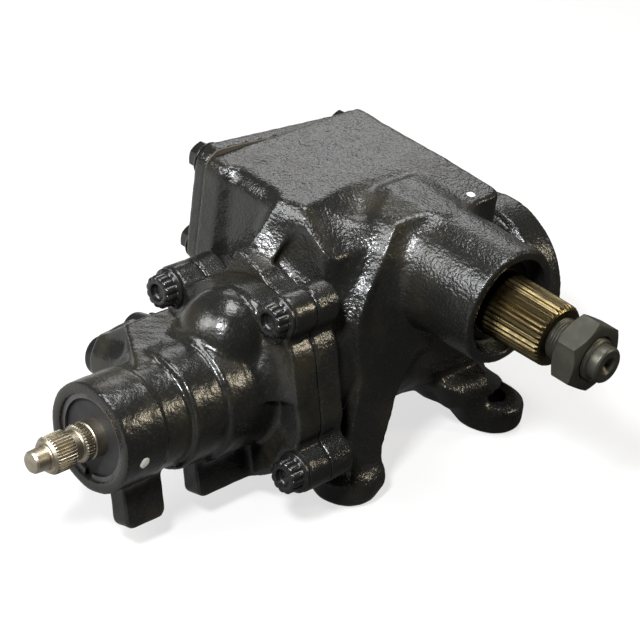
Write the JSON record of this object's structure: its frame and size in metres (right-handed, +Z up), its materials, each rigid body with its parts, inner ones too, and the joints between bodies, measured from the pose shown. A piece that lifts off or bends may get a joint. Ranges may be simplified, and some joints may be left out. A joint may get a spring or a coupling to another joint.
{
  "type": "power steering gearbox",
  "caption": "Recirculating-ball power steering gearbox with a splined input stub, worm, rack piston and sector shaft in a cast housing on bolt-down ears.",
  "frame": {"origin": "bottom centre of the box around the part, on the plane of its mounting ears", "axes": "+X along the sector shaft towards the pitman arm, +Y from the input end to the rear end along the worm, +Z up from the mounting plane"},
  "size_m": [0.2442, 0.329, 0.1485],
  "materials": {
    "castings": "satin black paint over sand-cast iron",
    "black_bolts": "black oxide under black paint",
    "port_fittings": "gloss black",
    "rubber_seals": "moulded",
    "gasket": "pressed fibre",
    "bronze_bush": "bored",
    "zinc_steel": "plated",
    "bearing_steel": "ground",
    "input_steel": "oiled, pale tan",
    "valve_steel": "machined",
    "ptfe_rings": "smooth",
    "sector_steel": "oiled, brown gold",
    "nut_steel": "phosphate, dark olive grey"
  },
  "bodies": {
    "housing": {"gear_housing": "castings", "front_mount_ear": "castings", "rear_mount_ear": "castings", "far_mount_ear": "castings", "valve_housing": "castings", "valve_housing_bolts": "black_bolts", "valve_housing_o_ring": "rubber_seals", "pressure_port_fitting": "port_fittings", "return_port_fitting": "port_fittings", "sector_cover": "castings", "sector_cover_gasket": "gasket", "sector_cover_bolts": "black_bolts", "sector_cover_bush": "bronze_bush", "adjuster_screw": "zinc_steel", "adjuster_lock_nut": "zinc_steel", "sector_needle_bearing": "bearing_steel", "sector_oil_seal": "rubber_seals", "sector_dust_seal": "rubber_seals", "sector_seal_ring": "zinc_steel", "end_plug": "castings", "end_plug_o_ring": "rubber_seals", "end_plug_retaining_ring": "zinc_steel", "worm_front_thrust_bearing": "bearing_steel", "worm_rear_thrust_bearing": "bearing_steel", "worm_bearing_nut": "bearing_steel", "input_needle_bearing": "bearing_steel", "input_oil_seal": "rubber_seals", "input_dust_seal": "rubber_seals", "input_snap_ring": "zinc_steel"},
    "sector": {"sector_shaft": "sector_steel", "adjuster_retainer": "valve_steel", "pitman_nut": "nut_steel"},
    "rack_piston": {"rack_piston": "valve_steel", "piston_ring": "ptfe_rings", "piston_ring_expander": "rubber_seals", "piston_plug": "valve_steel", "circuit_balls": "bearing_steel", "ball_return_guide": "valve_steel", "guide_clamp": "valve_steel", "guide_clamp_screws": "valve_steel"},
    "worm": {"worm_shaft": "valve_steel", "worm_pin": "valve_steel", "valve_sleeve": "valve_steel", "valve_sleeve_rings": "ptfe_rings", "sleeve_drive_pin": "valve_steel"},
    "input_shaft": {"input_shaft": "input_steel", "torsion_bar": "input_steel", "torsion_bar_pin": "input_steel"}
  },
  "joints": [
    {"name": "sector_turn", "type": "hinge", "parent": "housing", "child": "sector", "pos_m": [-0.02535, 0.0655, 0.1145], "axis": [1, 0, 0], "range_deg": [-40, 40]},
    {"name": "piston_slide", "type": "slide", "parent": "housing", "child": "rack_piston", "axis": [0, 1, 0], "range_m": [-0.01895, 0.01895]},
    {"name": "worm_spin", "type": "hinge", "parent": "housing", "child": "worm", "pos_m": [-0.02535, 0.0655, 0.0645], "axis": [0, 1, 0], "range_deg": [-601.5, 601.5]},
    {"name": "valve_twist", "type": "hinge", "parent": "worm", "child": "input_shaft", "pos_m": [-0.02535, -0.1345, 0.0645], "axis": [0, 1, 0], "range_deg": [-5, 5], "stiffness_Nm_per_rad": 40}
  ],
  "couplings": [
    {"joint": "piston_slide", "follows": "sector_turn", "m_per_rad": 0.027},
    {"joint": "worm_spin", "follows": "sector_turn", "ratio": -15.013}
  ]
}
